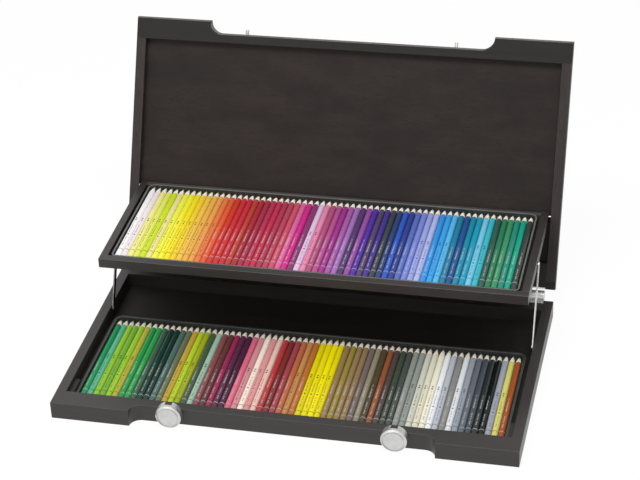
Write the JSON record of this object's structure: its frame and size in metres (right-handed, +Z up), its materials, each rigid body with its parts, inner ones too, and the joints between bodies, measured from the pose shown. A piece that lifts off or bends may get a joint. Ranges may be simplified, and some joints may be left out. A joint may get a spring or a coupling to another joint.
{
  "type": "pencil case",
  "caption": "Shallow wooden pencil case with a hinged lid that leans back, an inner tray that rises on flat links, rows of coloured pencils and turn knobs at the front.",
  "frame": {"origin": "centre of the base's underside, on the surface that the case stands on", "axes": "+X to the right along the width, +Y to the hinges at the back, +Z up; the case is stored with its lid open"},
  "size_m": [0.558, 0.467, 0.3071],
  "materials": {
    "case_wood": "dark open-grained stain, satin lacquer",
    "panel_wood": "dark open-grained veneer, matt",
    "aluminium": "turned and satin anodised",
    "steel": "nickel plated",
    "tin": "pressed sheet, satin",
    "pencil_casing": "lacquered in the colour of each lead, bare wood at the cone",
    "pencil_lead": "waxy pigment, a colour for each pencil"
  },
  "bodies": {
    "base": {"base_front_rail": "case_wood", "base_left_rail": "case_wood", "base_right_rail": "case_wood", "base_rear_rail": "case_wood", "base_floor": "case_wood", "tray_rests": "case_wood", "link_base_pivots": "steel", "lower_tin": "tin", "lower_pencil_casings": "pencil_casing", "lower_pencil_leads": "pencil_lead", "hinge_left_base_leaf": "aluminium", "hinge_right_base_leaf": "aluminium", "hinge_left_pin": "steel", "hinge_right_pin": "steel", "hinge_base_screws": "steel"},
    "lid": {"lid_front_rail": "case_wood", "lid_left_rail": "case_wood", "lid_right_rail": "case_wood", "lid_rear_rail": "case_wood", "lid_hinge_strip": "case_wood", "lid_panel": "panel_wood", "latch_pins": "steel", "hinge_left_lid_leaf": "aluminium", "hinge_right_lid_leaf": "aluminium", "hinge_lid_screws": "steel", "tray_lid_pivots": "steel"},
    "tray": {"tray_front_rail": "case_wood", "tray_left_rail": "case_wood", "tray_right_rail": "case_wood", "tray_rear_rail": "case_wood", "tray_floor": "case_wood", "upper_tin": "tin", "upper_pencil_casings": "pencil_casing", "upper_pencil_leads": "pencil_lead", "link_tray_pivots": "steel"},
    "link_left": {"link_left": "steel"},
    "link_right": {"link_right": "steel"},
    "knob_left": {"knob_left_body": "aluminium", "knob_left_disc": "aluminium", "knob_left_spindle": "steel", "knob_left_retainer": "steel"},
    "knob_right": {"knob_right_body": "aluminium", "knob_right_disc": "aluminium", "knob_right_spindle": "steel", "knob_right_retainer": "steel"}
  },
  "joints": [
    {"name": "lid_hinge", "type": "hinge", "parent": "base", "child": "lid", "pos_m": [0, 0.1632, 0.022], "axis": [1, 0, 0], "range_deg": [0, 116]},
    {"name": "tray_swivel", "type": "hinge", "parent": "lid", "child": "tray", "pos_m": [0, 0.20883, 0.111], "axis": [1, 0, 0], "range_deg": [-116, 0]},
    {"name": "link_swing_left", "type": "hinge", "parent": "base", "child": "link_left", "pos_m": [-0.2656, 0.0595, 0.017], "axis": [1, 0, 0], "range_deg": [0, 116]},
    {"name": "link_swing_right", "type": "hinge", "parent": "base", "child": "link_right", "pos_m": [0.2656, 0.0595, 0.017], "axis": [1, 0, 0], "range_deg": [0, 116]},
    {"name": "knob_turn_left", "type": "hinge", "parent": "base", "child": "knob_left", "pos_m": [-0.1343, -0.146, 0.0165], "axis": [0, 1, 0], "range_deg": [0, 90]},
    {"name": "knob_turn_right", "type": "hinge", "parent": "base", "child": "knob_right", "pos_m": [0.1343, -0.146, 0.0165], "axis": [0, 1, 0], "range_deg": [0, 90]}
  ],
  "couplings": [
    {"joint": "tray_swivel", "follows": "lid_hinge", "ratio": -1},
    {"joint": "link_swing_left", "follows": "lid_hinge", "ratio": 1},
    {"joint": "link_swing_right", "follows": "lid_hinge", "ratio": 1}
  ]
}
